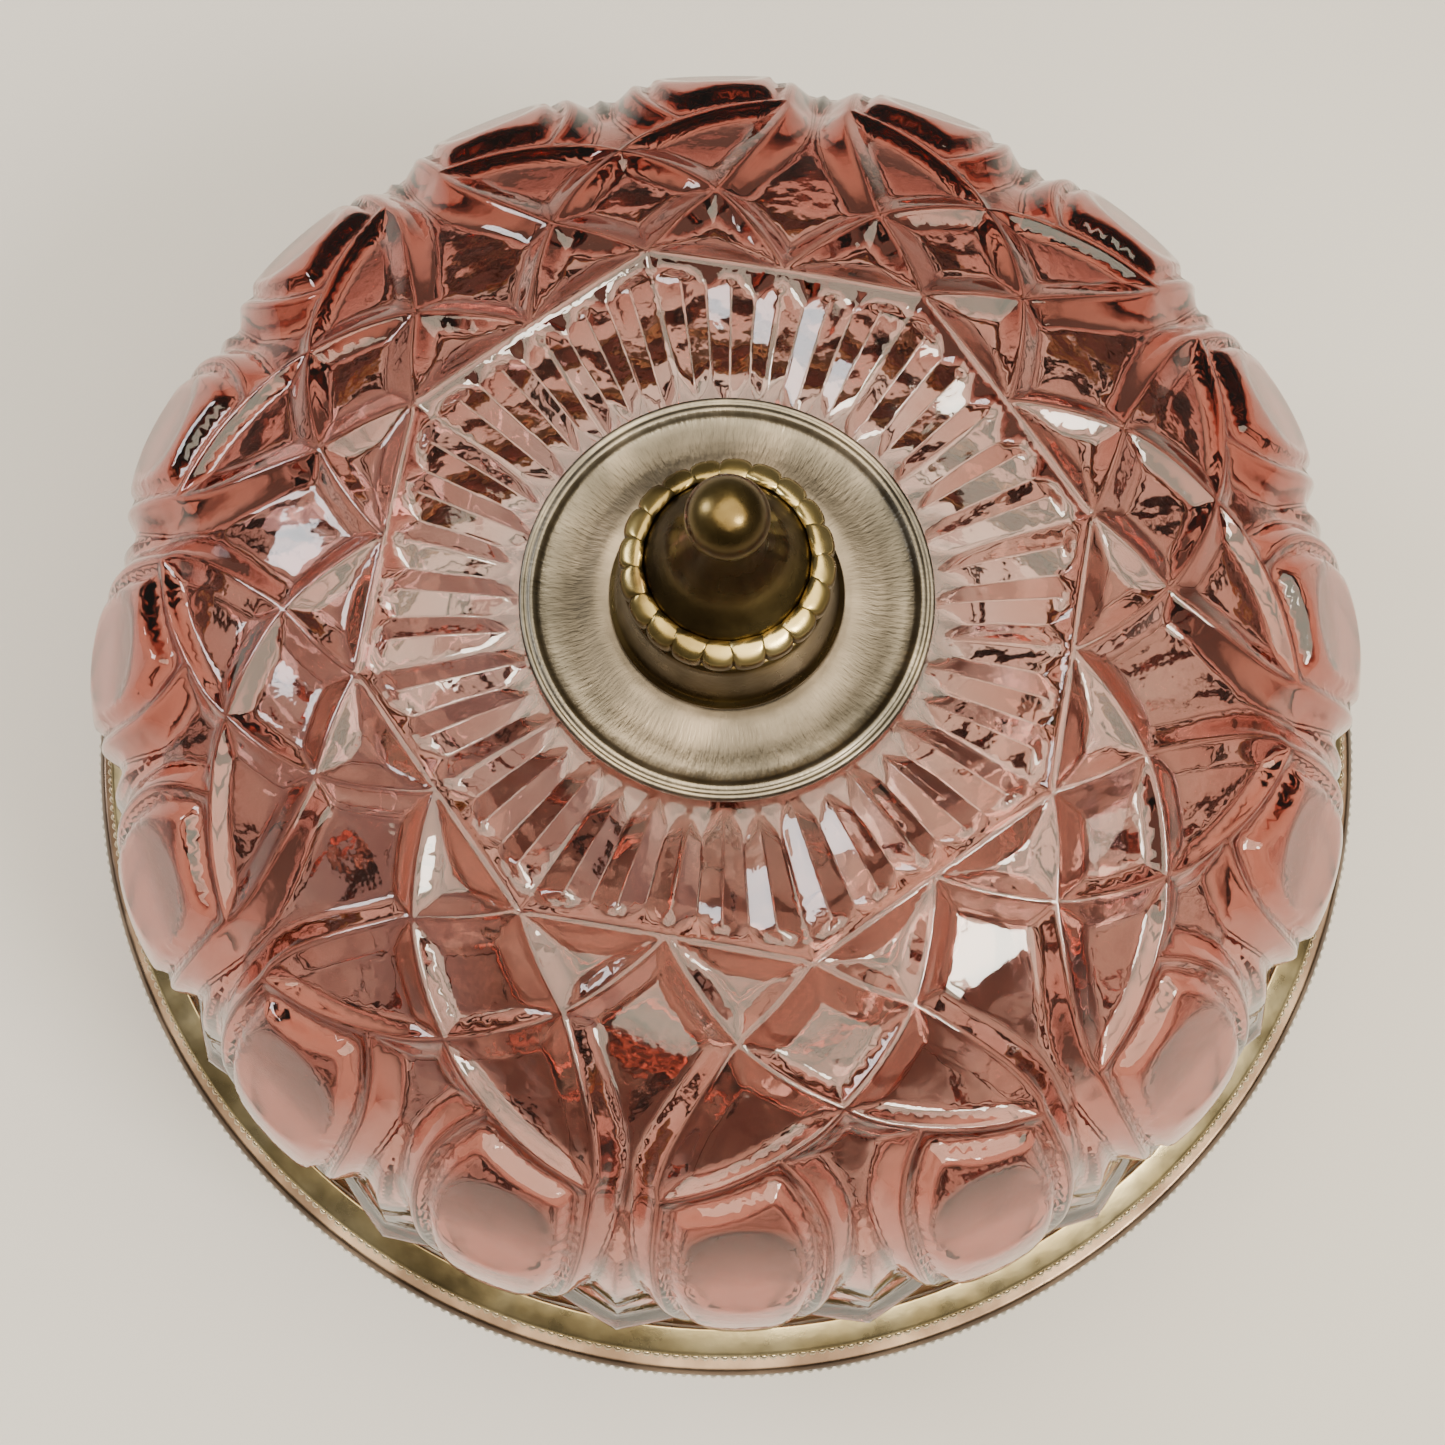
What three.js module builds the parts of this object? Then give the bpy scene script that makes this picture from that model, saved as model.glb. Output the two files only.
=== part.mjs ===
// Pressed-glass candy dish: a faceted bowl and a domed lid, each with a plated metal rim,
// and a turned brass finial bolted through the crown of the lid.
// Millimetres, +Z up, origin at the centre of the bowl's foot.
import * as THREE from 'three';

// Driving dimensions
const GAP = 0.3;                  // clearance between pieces that touch
const BOWL_RIM_TOP = 66;          // face that the lid rests on
const BOWL_RIM_RADIUS = 77.2;     // edge of the bowl's metal rim
const LID_RIM_RADIUS = 75;        // milled edge of the lid's metal rim
const LID_RIM_DEPTH = 3;          // milled edge down to the lid's resting face
const SKIRT_DEPTH = 4;            // locating skirt below the lid's resting face
const SHEET = 0.8;                // thickness of the metal rims
const WALL = 5.4;                 // glass wall, without its pattern
const SIDES = 8;                  // the pattern repeats on an octagon
const LOBES = 2 * SIDES;          // rounded lobes round each glass piece
const BEADS = 20;                 // gadroons round the finial
const STUD_RADIUS = 2.4;
const BORE_RADIUS = STUD_RADIUS + GAP;
const GLASS_HOLE_RADIUS = 3.2;
const SEGMENTS = 3 * LOBES;       // facets round the large pieces
const FINE_SEGMENTS = 32;         // facets round the finial's pieces

// Heights that follow from them
const LID_REST = BOWL_RIM_TOP + GAP;
const MILLED_EDGE = LID_REST + LID_RIM_DEPTH;
const BOWL_SPRING = BOWL_RIM_TOP - 4.8;      // where the bowl's wall starts below its rim

// The domes are superellipses: (r / radius)^flank + (z / height)^crown = 1
const LID_DOME = { radius: 70.3, height: 58.8, flank: 3.1, crown: 3.2, base: MILLED_EDGE, up: 1 };
const LID_HOLLOW = { radius: 65.2, height: 49.6, flank: 2.9, crown: 2.9, base: MILLED_EDGE, up: 1 };
const BOWL_DOME = { radius: 77.8, height: 57.2, flank: 3.1, crown: 3.2, base: BOWL_SPRING, up: -1 };
const BOWL_HOLLOW = { radius: 71.4, height: 51.2, flank: 2.9, crown: 2.9, base: BOWL_SPRING, up: -1 };

const OCTAGON_RADIUS = 36.4;      // corners of the border round the fluted centre
const LAND_RADIUS = 22.6;         // flat seat under the finial's plate
const INNER_LAND_RADIUS = 14;     // flat seat for the washers inside the crown
const LAND = MILLED_EDGE + 53.2;
const CROWN_INSIDE = LAND - WALL;

const ROSE_GLASS = { color: 0xc98a80, roughness: 0.08, metalness: 0 };
const SILVER_PLATE = { color: 0xb9a684, roughness: 0.35, metalness: 1 };
const OLD_BRASS = { color: 0x6b5a2c, roughness: 0.4, metalness: 1 };
const CEMENT = { color: 0xb8ad9c, roughness: 0.95, metalness: 0 };
const SOFT_WASHER = { color: 0x4a4440, roughness: 0.9, metalness: 0 };
const STEEL = { color: 0x8d8f90, roughness: 0.45, metalness: 1 };

const dish = new THREE.Group();

function addPiece(name, geometry, finish) {
  const mesh = new THREE.Mesh(geometry, new THREE.MeshStandardMaterial(finish));
  mesh.name = name;
  dish.add(mesh);
}

// Turned piece: the outline of its section runs anticlockwise, radius to the right and height up.
function turned(outline, segments) {
  const points = outline.map(([r, z]) => new THREE.Vector2(r, z));
  return new THREE.LatheGeometry(points, segments).rotateX(Math.PI / 2);
}

function turnedRing(outline, segments) {
  return turned([...outline, outline[0]], segments);
}

function washer(inner, outer, low, high) {
  return turnedRing([[inner, low], [outer, low], [outer, high], [inner, high]], FINE_SEGMENTS);
}

// Closed solid from rings of points, where each ring gives [radius, height] at an angle round +Z.
// The rings run anticlockwise round the section. A ring of radius 0 is a point on the axis.
function ringSolid(rings, segments, closed) {
  const positions = [];
  const rows = rings.map((ring) => {
    const row = [];
    for (let i = 0; i < segments; i += 1) {
      const angle = (2 * Math.PI * i) / segments;
      const [r, z] = ring(angle);
      if (r > 0 || i === 0) positions.push(r * Math.cos(angle), r * Math.sin(angle), z);
      row.push(positions.length / 3 - 1);
    }
    return row;
  });
  const index = [];
  const bands = closed ? rows.length : rows.length - 1;
  for (let j = 0; j < bands; j += 1) {
    const below = rows[j];
    const above = rows[(j + 1) % rows.length];
    for (let i = 0; i < segments; i += 1) {
      const next = (i + 1) % segments;
      if (below[i] !== below[next]) index.push(below[i], below[next], above[next]);
      if (above[i] !== above[next]) index.push(below[i], above[next], above[i]);
    }
  }
  const geometry = new THREE.BufferGeometry();
  geometry.setAttribute('position', new THREE.Float32BufferAttribute(positions, 3));
  geometry.setIndex(index);
  return geometry;
}

function circle(r, z) {
  return () => [r, z];
}

// Radius of the octagon at an angle, as a share of its corner radius
function octagon(angle) {
  const half = Math.PI / SIDES;
  const fromCorner = ((angle % (2 * half)) + 2 * half) % (2 * half);
  return Math.cos(half) / Math.cos(fromCorner - half);
}

function domeHeight(dome, r) {
  const share = 1 - (r / dome.radius) ** dome.flank;
  return dome.height * share ** (1 / dome.crown);
}

// Point on a dome, moved outwards by a relief. The meridian angle is 0 at the crown and 90 at the base.
function onDome(dome, degrees, relief) {
  const meridian = THREE.MathUtils.degToRad(degrees);
  const r = dome.radius * Math.sin(meridian) ** (2 / dome.flank);
  const z = dome.height * Math.cos(meridian) ** (2 / dome.crown);
  const normal = new THREE.Vector2(
    (dome.flank / dome.radius) * (r / dome.radius) ** (dome.flank - 1),
    (dome.crown / dome.height) * (z / dome.height) ** (dome.crown - 1),
  ).normalize();
  return [r + relief * normal.x, dome.base + dome.up * (z + relief * normal.y)];
}

// Ring on the dome that follows the octagon, sunk by a depth
function octagonRing(dome, scale, depth) {
  return (angle) => {
    const r = OCTAGON_RADIUS * scale * octagon(angle);
    return [r, dome.base + dome.up * (domeHeight(dome, r) - depth)];
  };
}

// Ring whose relief swings between the octagon's corner axes (ridges) and its mid-sides (hollows)
function latticeRing(dome, degrees, depth) {
  return (angle) => onDome(dome, degrees, (depth / 2) * (Math.cos(SIDES * angle) - 1));
}

// Ring of lobes: high between the corner axes and mid-sides, low on them
function lobeRing(dome, degrees, rise, valley) {
  return (angle) => onDome(dome, degrees, valley + (rise - valley) * Math.abs(Math.sin(SIDES * angle)));
}

// Outer surface of either glass piece, from the octagon out to the foot of the lobes
function patternRings(dome) {
  return [
    octagonRing(dome, 0.96, 0),
    octagonRing(dome, 1, 1.1),
    octagonRing(dome, 1.05, 0.2),
    latticeRing(dome, 31, 1.2),
    latticeRing(dome, 40, 1.6),
    lobeRing(dome, 47, 0.6, -1.6),
    lobeRing(dome, 57, 1.4, -2),
    lobeRing(dome, 70, 1.6, -2),
    lobeRing(dome, 80, 1.4, -1.6),
    lobeRing(dome, 86, 0.6, -0.8),
  ];
}

// Smooth hollow inside either glass piece, from its mouth to near its crown
function hollowRings(dome) {
  return [85, 74, 62, 50, 38, 24].map((degrees) => () => onDome(dome, degrees, 0));
}

// Bowl: the same dome upside down, with a foot ring and a neck that carries the metal rim
const neck = { inner: 73.3, outer: 75, top: BOWL_RIM_TOP - SHEET - GAP };
const foot = { inner: 34.6, outer: 40.2, height: 5.6 };
const bowlOutside = patternRings(BOWL_DOME).slice(2);
const bowlRings = [
  circle(0, 3.4),
  circle(foot.inner - 2.6, 3.4),
  circle(foot.inner - 0.9, 0.8),
  circle(foot.inner, 0),
  circle(foot.outer - 2.2, 0),
  circle(foot.outer - 1.2, 0.8),
  circle(foot.outer, foot.height),
  ...bowlOutside.slice(1),
  circle(neck.outer, BOWL_SPRING),
  circle(neck.outer, neck.top),
  circle(neck.inner, neck.top),
  circle(neck.inner, BOWL_RIM_TOP - 6.8),
  ...hollowRings(BOWL_HOLLOW),
  circle(0, BOWL_SPRING - BOWL_HOLLOW.height),
];
addPiece('bowl_glass', ringSolid(bowlRings, SEGMENTS, false), ROSE_GLASS);

// Bowl rim: a sheet channel folded over the neck
const bowlRimInner = neck.inner - GAP - SHEET;
addPiece('bowl_rim', turnedRing([
  [BOWL_RIM_RADIUS, BOWL_RIM_TOP - 4.5],
  [BOWL_RIM_RADIUS, BOWL_RIM_TOP - 1.2],
  [BOWL_RIM_RADIUS - 0.6, BOWL_RIM_TOP],
  [bowlRimInner, BOWL_RIM_TOP],
  [bowlRimInner, BOWL_RIM_TOP - 6.5],
  [bowlRimInner + SHEET, BOWL_RIM_TOP - 6.5],
  [bowlRimInner + SHEET, BOWL_RIM_TOP - SHEET],
  [BOWL_RIM_RADIUS - SHEET, BOWL_RIM_TOP - SHEET],
  [BOWL_RIM_RADIUS - SHEET, BOWL_RIM_TOP - 4.5],
], SEGMENTS), SILVER_PLATE);

addPiece('bowl_rim_cement', turnedRing([
  [neck.outer + GAP, BOWL_RIM_TOP - 4.3],
  [BOWL_RIM_RADIUS - SHEET - GAP, BOWL_RIM_TOP - 4.3],
  [BOWL_RIM_RADIUS - SHEET - GAP, neck.top],
  [neck.outer + GAP, neck.top],
], SEGMENTS), CEMENT);

// Lid: a dome with a sunk seat for the finial and a plain edge held in the metal rim
const lidEdge = { radius: 71.2, bottom: MILLED_EDGE - 1.8, top: MILLED_EDGE + 2.2 };
const fluteTop = LAND_RADIUS + 1.8;
const lidRings = [
  circle(GLASS_HOLE_RADIUS, CROWN_INSIDE),
  circle(INNER_LAND_RADIUS, CROWN_INSIDE),
  ...hollowRings(LID_HOLLOW).reverse(),
  circle(LID_HOLLOW.radius + 0.4, MILLED_EDGE + 2),
  circle(LID_HOLLOW.radius + 1.4, lidEdge.bottom),
  circle(lidEdge.radius, lidEdge.bottom),
  circle(lidEdge.radius, lidEdge.top),
  ...patternRings(LID_DOME).reverse(),
  circle(fluteTop, MILLED_EDGE + domeHeight(LID_DOME, fluteTop) - 0.2),
  circle(LAND_RADIUS, LAND),
  circle(GLASS_HOLE_RADIUS, LAND),
];
addPiece('lid_glass', ringSolid(lidRings, SEGMENTS, true), ROSE_GLASS);

// Lid rim: sloping flange and milled edge round the glass, a shelf under it and a skirt below
const lidRimInside = LID_RIM_RADIUS - SHEET - 0.2;
const shelf = { inner: LID_HOLLOW.radius + 1.3, top: lidEdge.bottom - GAP };
const skirt = { inner: 70.6, outer: 71.5 };
addPiece('lid_rim', turnedRing([
  [LID_RIM_RADIUS, LID_REST],
  [LID_RIM_RADIUS, MILLED_EDGE - 0.3],
  [LID_RIM_RADIUS - 0.4, MILLED_EDGE + 0.1],
  [lidEdge.radius + 0.4, MILLED_EDGE + 1.4],
  [lidEdge.radius + 0.4, MILLED_EDGE + 0.6],
  [lidRimInside, MILLED_EDGE - 0.5],
  [lidRimInside, shelf.top],
  [shelf.inner, shelf.top],
  [shelf.inner, LID_REST],
  [skirt.inner, LID_REST],
  [skirt.inner, LID_REST - SKIRT_DEPTH],
  [skirt.outer, LID_REST - SKIRT_DEPTH],
  [skirt.outer, LID_REST],
], SEGMENTS), SILVER_PLATE);

addPiece('lid_rim_cement', turnedRing([
  [lidEdge.radius + GAP, lidEdge.bottom],
  [lidRimInside - GAP, lidEdge.bottom],
  [lidRimInside - GAP, MILLED_EDGE - 0.9],
  [lidEdge.radius + GAP, MILLED_EDGE + 0.1],
], SEGMENTS), CEMENT);

// Finial, from the glass upwards
const gasketTop = LAND + GAP + 0.6;
addPiece('finial_gasket', washer(BORE_RADIUS, 15, LAND + GAP, gasketTop), SOFT_WASHER);

const plateFloor = gasketTop + GAP + 0.7;
const PLATE_RADIUS = 20.2;
addPiece('finial_plate', turnedRing([
  [BORE_RADIUS, gasketTop + GAP],
  [15, gasketTop + GAP],
  [PLATE_RADIUS - 1, LAND + GAP + 0.5],
  [PLATE_RADIUS, LAND + GAP + 0.8],
  [PLATE_RADIUS, LAND + 2.2],
  [PLATE_RADIUS - 0.5, LAND + 2.8],
  [PLATE_RADIUS - 1.5, LAND + 2.9],
  [PLATE_RADIUS - 2, LAND + 2.5],
  [PLATE_RADIUS - 5, plateFloor + 0.4],
  [12.6, plateFloor],
  [BORE_RADIUS, plateFloor],
], FINE_SEGMENTS), SILVER_PLATE);

const baseFoot = plateFloor + GAP;
const baseTop = MILLED_EDGE + 64.4;
addPiece('finial_base', turnedRing([
  [BORE_RADIUS, baseFoot],
  [11, baseFoot],
  [11.4, baseFoot + 0.5],
  [11.2, baseFoot + 1.2],
  [10.4, baseFoot + 2.6],
  [10, baseFoot + 5],
  [9.7, baseTop],
  [BORE_RADIUS, baseTop],
], FINE_SEGMENTS), OLD_BRASS);

// Ring of gadroons seated on the base, round the foot of the knob
const BEAD_RING = { inner: 8.15, valley: 9.3, crest: 9.95, height: 3.2 };
const beadFoot = baseTop + GAP;
function beadEdge(z, inset) {
  return (angle) => {
    const swell = Math.abs(Math.cos((BEADS / 2) * angle));
    return [BEAD_RING.valley + (BEAD_RING.crest - BEAD_RING.valley) * swell - inset, z];
  };
}
const beadRings = [
  circle(BEAD_RING.inner, beadFoot),
  beadEdge(beadFoot, 0.6),
  beadEdge(beadFoot + BEAD_RING.height * 0.35, 0),
  beadEdge(beadFoot + BEAD_RING.height * 0.75, 0.1),
  beadEdge(beadFoot + BEAD_RING.height, 0.8),
  circle(BEAD_RING.inner, beadFoot + BEAD_RING.height),
];
addPiece('finial_bead_ring', ringSolid(beadRings, 4 * BEADS, true), OLD_BRASS);

// Knob: a trumpet-shaped cone that carries a ball, bored from below for the stud
const BALL = { radius: 3.75, centre: MILLED_EDGE + 80.3 };
const KNOB_FOOT_RADIUS = BEAD_RING.inner - GAP;
const boreTop = MILLED_EDGE + 74;
const flare = new THREE.QuadraticBezierCurve(
  new THREE.Vector2(KNOB_FOOT_RADIUS, beadFoot + 1.6),
  new THREE.Vector2(3.8, beadFoot + 5),
  new THREE.Vector2(2.5, BALL.centre - 2.9),
).getPoints(6).map((point) => [point.x, point.y]);
const ball = [-38, -12, 14, 40, 66].map((degrees) => {
  const lift = THREE.MathUtils.degToRad(degrees);
  return [BALL.radius * Math.cos(lift), BALL.centre + BALL.radius * Math.sin(lift)];
});
addPiece('finial_knob', turned([
  [0, boreTop],
  [BORE_RADIUS, boreTop - 1],
  [BORE_RADIUS, beadFoot],
  [KNOB_FOOT_RADIUS, beadFoot],
  ...flare,
  ...ball,
  [0, BALL.centre + BALL.radius],
], FINE_SEGMENTS), OLD_BRASS);

// Fixing inside the lid: stud, soft washer, cupped washer and nut
const innerGasketTop = CROWN_INSIDE - GAP;
const innerGasketFoot = innerGasketTop - 0.8;
addPiece('inner_gasket', washer(BORE_RADIUS, 12, innerGasketFoot, innerGasketTop), SOFT_WASHER);

const innerWasherTop = innerGasketFoot - GAP;
const innerWasherFoot = innerWasherTop - 1;
addPiece('inner_washer', washer(BORE_RADIUS, 11, innerWasherFoot, innerWasherTop), STEEL);

const NUT = { corner: 4.7, height: 3.2 };
const hexagon = new THREE.Shape();
for (let i = 0; i < 6; i += 1) {
  const angle = (i * Math.PI) / 3;
  const corner = [NUT.corner * Math.cos(angle), NUT.corner * Math.sin(angle)];
  if (i === 0) hexagon.moveTo(...corner);
  else hexagon.lineTo(...corner);
}
hexagon.closePath();
hexagon.holes.push(new THREE.Path().absarc(0, 0, BORE_RADIUS, 0, 2 * Math.PI, true));
const nutFoot = innerWasherFoot - GAP - NUT.height;
addPiece('finial_nut', new THREE.ExtrudeGeometry(hexagon, {
  depth: NUT.height, bevelEnabled: false, curveSegments: 8,
}).translate(0, 0, nutFoot), STEEL);

const studFoot = nutFoot - 2;
const studTop = boreTop - 1.4;
addPiece('finial_stud', turned([
  [0, studFoot],
  [STUD_RADIUS - 0.4, studFoot],
  [STUD_RADIUS, studFoot + 0.4],
  [STUD_RADIUS, studTop],
  [0, studTop],
], 16), STEEL);

export default dish;
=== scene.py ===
"""Looks of a pressed-glass candy dish: rose glass bowl and domed lid, plated rims, brass finial.

Sizes inside the classes are in millimetres, as the shop would mark them; meshes leave in metres.
"""
import logging
import math
from dataclasses import dataclass
from enum import Enum

import bmesh
import bpy
import numpy as np
from bpy.types import Material, Mesh, Node, NodeSocket, NodeTree, Object
from mathutils import Matrix, Vector
from mathutils.geometry import delaunay_2d_cdt
from mathutils.kdtree import KDTree


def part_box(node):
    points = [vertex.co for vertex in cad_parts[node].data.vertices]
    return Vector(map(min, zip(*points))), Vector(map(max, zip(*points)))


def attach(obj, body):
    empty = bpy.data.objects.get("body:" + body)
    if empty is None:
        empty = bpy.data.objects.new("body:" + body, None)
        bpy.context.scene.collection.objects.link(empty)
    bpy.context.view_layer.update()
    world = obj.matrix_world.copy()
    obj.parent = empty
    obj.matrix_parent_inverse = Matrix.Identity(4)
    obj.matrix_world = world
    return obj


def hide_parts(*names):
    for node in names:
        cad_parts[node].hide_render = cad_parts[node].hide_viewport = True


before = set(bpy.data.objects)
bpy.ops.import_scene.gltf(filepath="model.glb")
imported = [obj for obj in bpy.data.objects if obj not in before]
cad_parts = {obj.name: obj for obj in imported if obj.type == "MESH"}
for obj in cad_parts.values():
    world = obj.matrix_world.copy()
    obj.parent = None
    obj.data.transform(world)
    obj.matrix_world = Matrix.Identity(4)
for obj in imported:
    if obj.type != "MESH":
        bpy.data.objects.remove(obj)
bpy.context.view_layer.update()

log = logging.getLogger("candy_dish")
MM = 0.001
Colour = tuple[float, float, float]
Outline = list[tuple[float, float]]
Faces = list[tuple[int, ...]]
MIDDLE = (0.25, 0.75)  # where most of a noise's values lie


class Body(Enum):
    """The two bodies that pieces ride on."""

    BOWL = "bowl"
    LID = "lid"


class Slot(Enum):
    """Material slots of the record, named for new pieces; nothing here uses them."""

    GLASS = "rose_glass"
    PLATE = "silver_plate"
    WORN_PLATE = "worn_plate"
    BRASS = "old_brass"
    STEEL = "fixing_steel"
    RUBBER = "soft_washer"


class Run(Enum):
    """Raised lines of the pressed pattern inside one mirrored wedge."""

    OCTAGON = "octagon"
    SIDE = "side"
    ARC = "arc"
    LEAF_FOOT = "leaf_foot"
    LOBE = "lobe"


# ---------------------------------------------------------------- helpers


def frame_mm(node: str) -> tuple[Vector, Vector]:
    """Return the lowest and highest corners of a CAD node, in millimetres."""
    low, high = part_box(node)
    return Vector(low) / MM, Vector(high) / MM


def new_object(name: str, mesh: Mesh) -> Object:
    """Link a mesh to the scene at the origin.

    Args:
        name: name of the object.
        mesh: its mesh.

    Returns:
        The object.
    """
    piece = bpy.data.objects.new(name, mesh)
    bpy.context.scene.collection.objects.link(piece)
    return piece


def mesh_from(name: str, points: np.ndarray, faces: Faces,
              frost: np.ndarray | None = None) -> Mesh:
    """Make a smooth-shaded mesh with its faces pointing outwards.

    Args:
        name: name of the mesh.
        points: vertex positions in millimetres.
        faces: vertex numbers of each face.
        frost: how matt each vertex is, from 0 to 1, kept as an attribute.

    Returns:
        The mesh, in metres, with doubles merged.
    """
    mesh = bpy.data.meshes.new(name)
    mesh.from_pydata((points * MM).tolist(), [], faces)
    if frost is not None:
        mesh.attributes.new("frost", "FLOAT", "POINT").data.foreach_set("value", frost)
    build = bmesh.new()
    build.from_mesh(mesh)
    bmesh.ops.remove_doubles(build, verts=build.verts, dist=1e-6)
    bmesh.ops.recalc_face_normals(build, faces=build.faces)
    build.to_mesh(mesh)
    build.free()
    mesh.polygons.foreach_set("use_smooth", [True] * len(mesh.polygons))
    return mesh


def dress(piece: Object, material: Material, body: Body) -> None:
    """Give a piece its material and body.

    Args:
        piece: the object to dress.
        material: its finish.
        body: the body that it rides on.
    """
    piece.data.materials.clear()
    piece.data.materials.append(material)
    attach(piece, body.value)
    log.info("%s: %d faces on %s", piece.name, len(piece.data.polygons), body.value)


def refinish(node: str, material: Material) -> None:
    """Put a better material on a CAD node that stays as it is.

    Args:
        node: the CAD node.
        material: its new finish.
    """
    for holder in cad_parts[node].material_slots:
        holder.material = material
    log.info("%s: CAD shape kept, finish replaced", node)


def hoops(rings: int, count: int, closed: bool = False, base: int = 0) -> Faces:
    """Join rings of points, one after the other, with quads.

    Args:
        rings: how many rings there are.
        count: points on each ring.
        closed: whether the last ring joins the first.
        base: number of the first point.

    Returns:
        The quads.
    """
    faces = []
    for j in range(rings if closed else rings - 1):
        here, there = base + j * count, base + (j + 1) % rings * count
        for i in range(count):
            k = (i + 1) % count
            faces.append((here + i, here + k, there + k, there + i))
    return faces


def turned(name: str, outline: Outline, segments: int) -> Object:
    """Turn a section round the vertical axis.

    Args:
        name: name of the piece.
        outline: radius and height of each point; a closed section unless it starts on the axis.
        segments: facets round the axis.

    Returns:
        The closed piece.
    """
    turns = np.linspace(0, 2 * math.pi, segments, endpoint=False)
    r, z = np.array(outline).T
    points = np.stack([np.outer(r, np.cos(turns)), np.outer(r, np.sin(turns)),
                       np.repeat(z[:, None], segments, axis=1)], axis=-1).reshape(-1, 3)
    faces = hoops(len(outline), segments, closed=outline[0][0] > 0)
    return new_object(name, mesh_from(name, points, faces))


def rounded(corners: Outline, radius: float, steps: int = 4) -> Outline:
    """Round every corner of a closed section.

    Args:
        corners: radius and height of each corner.
        radius: how far from a corner its rounding starts.
        steps: points along each rounding.

    Returns:
        The section's points.
    """
    points = []
    count = len(corners)
    for i in range(count):
        before, here, after = (Vector(corners[(i + k) % count]) for k in (-1, 0, 1))
        reach = min(radius, 0.45 * (before - here).length, 0.45 * (after - here).length)
        start = here + (before - here).normalized() * reach
        end = here + (after - here).normalized() * reach
        for share in np.linspace(0, 1, steps):
            points.append(tuple((1 - share) ** 2 * start + 2 * share * (1 - share) * here + share ** 2 * end))
    return points


def through(points: Outline, steps: int = 14) -> np.ndarray:
    """Draw a smooth curve through given points.

    Args:
        points: the points that it passes through.
        steps: samples between two points.

    Returns:
        The samples, one row each.
    """
    knots = np.array(points, float)
    padded = np.vstack([2 * knots[0] - knots[1], knots, 2 * knots[-1] - knots[-2]])
    samples = []
    for i in range(1, len(padded) - 2):
        p0, p1, p2, p3 = padded[i - 1:i + 3]
        for share in np.linspace(0, 1, steps, endpoint=False):
            samples.append(0.5 * (
                2 * p1 + (p2 - p0) * share + (2 * p0 - 5 * p1 + 4 * p2 - p3) * share ** 2
                + (3 * p1 - p0 - 3 * p2 + p3) * share ** 3))
    samples.append(knots[-1])
    return np.array(samples)


def inside(points: np.ndarray, outline: np.ndarray) -> np.ndarray:
    """Tell which points lie inside a closed outline, by the even-odd rule.

    Args:
        points: flat points, one row each.
        outline: corners of the outline, one row each.

    Returns:
        True for each point that lies inside.
    """
    hits = np.zeros(len(points), bool)
    ends = np.roll(outline, -1, axis=0)
    for (x0, y0), (x1, y1) in zip(outline, ends):
        crosses = (y0 > points[:, 1]) != (y1 > points[:, 1])
        if y0 != y1:
            hits ^= crosses & (points[:, 0] < x0 + (points[:, 1] - y0) * (x1 - x0) / (y1 - y0))
    return hits


def tree_of(points: list | np.ndarray) -> KDTree:
    """Index points, so that the nearest one can be found.

    Args:
        points: flat or solid positions.

    Returns:
        The finished tree.
    """
    tree = KDTree(len(points))
    for i, point in enumerate(points):
        tree.insert(Vector(point).to_3d(), i)
    tree.balance()
    return tree


# ---------------------------------------------------------------- pressed glass


@dataclass(frozen=True)
class Dome:
    """Superellipse dome that the pattern is pressed into. Meridian angles run from crown to base."""

    radius: float
    height: float
    flank: float
    crown: float
    base: float
    up: int = 1

    def section(self, degrees: np.ndarray) -> tuple[np.ndarray, np.ndarray]:
        """Return radius and height above the base at meridian angles."""
        angle = np.radians(degrees)
        return (self.radius * np.sin(angle) ** (2 / self.flank),
                self.height * np.cos(angle) ** (2 / self.crown))

    def normal(self, degrees: np.ndarray) -> tuple[np.ndarray, np.ndarray]:
        """Find the outward normal at meridian angles.

        Args:
            degrees: meridian angles.

        Returns:
            Its radial and upward shares.
        """
        r, z = self.section(degrees)
        out = self.flank / self.radius * (r / self.radius) ** (self.flank - 1)
        lift = self.crown / self.height * (z / self.height) ** (self.crown - 1)
        size = np.hypot(out, lift)
        return out / size, lift / size

    def meridian(self, r: np.ndarray) -> np.ndarray:
        """Return the meridian angle in degrees at a plan radius."""
        return np.degrees(np.arcsin(np.clip(r / self.radius, 0, 1) ** (self.flank / 2)))

    def place(self, angle: np.ndarray, degrees: np.ndarray, relief: np.ndarray) -> np.ndarray:
        """Place points on the dome.

        Args:
            angle: turn round the axis, in radians.
            degrees: meridian angle.
            relief: distance outwards along the normal.

        Returns:
            Positions, one row each.
        """
        r, z = self.section(degrees)
        out, lift = self.normal(degrees)
        r = r + relief * out
        z = self.base + self.up * (z + relief * lift)
        return np.stack([r * np.cos(angle), r * np.sin(angle), z], axis=-1)


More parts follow.
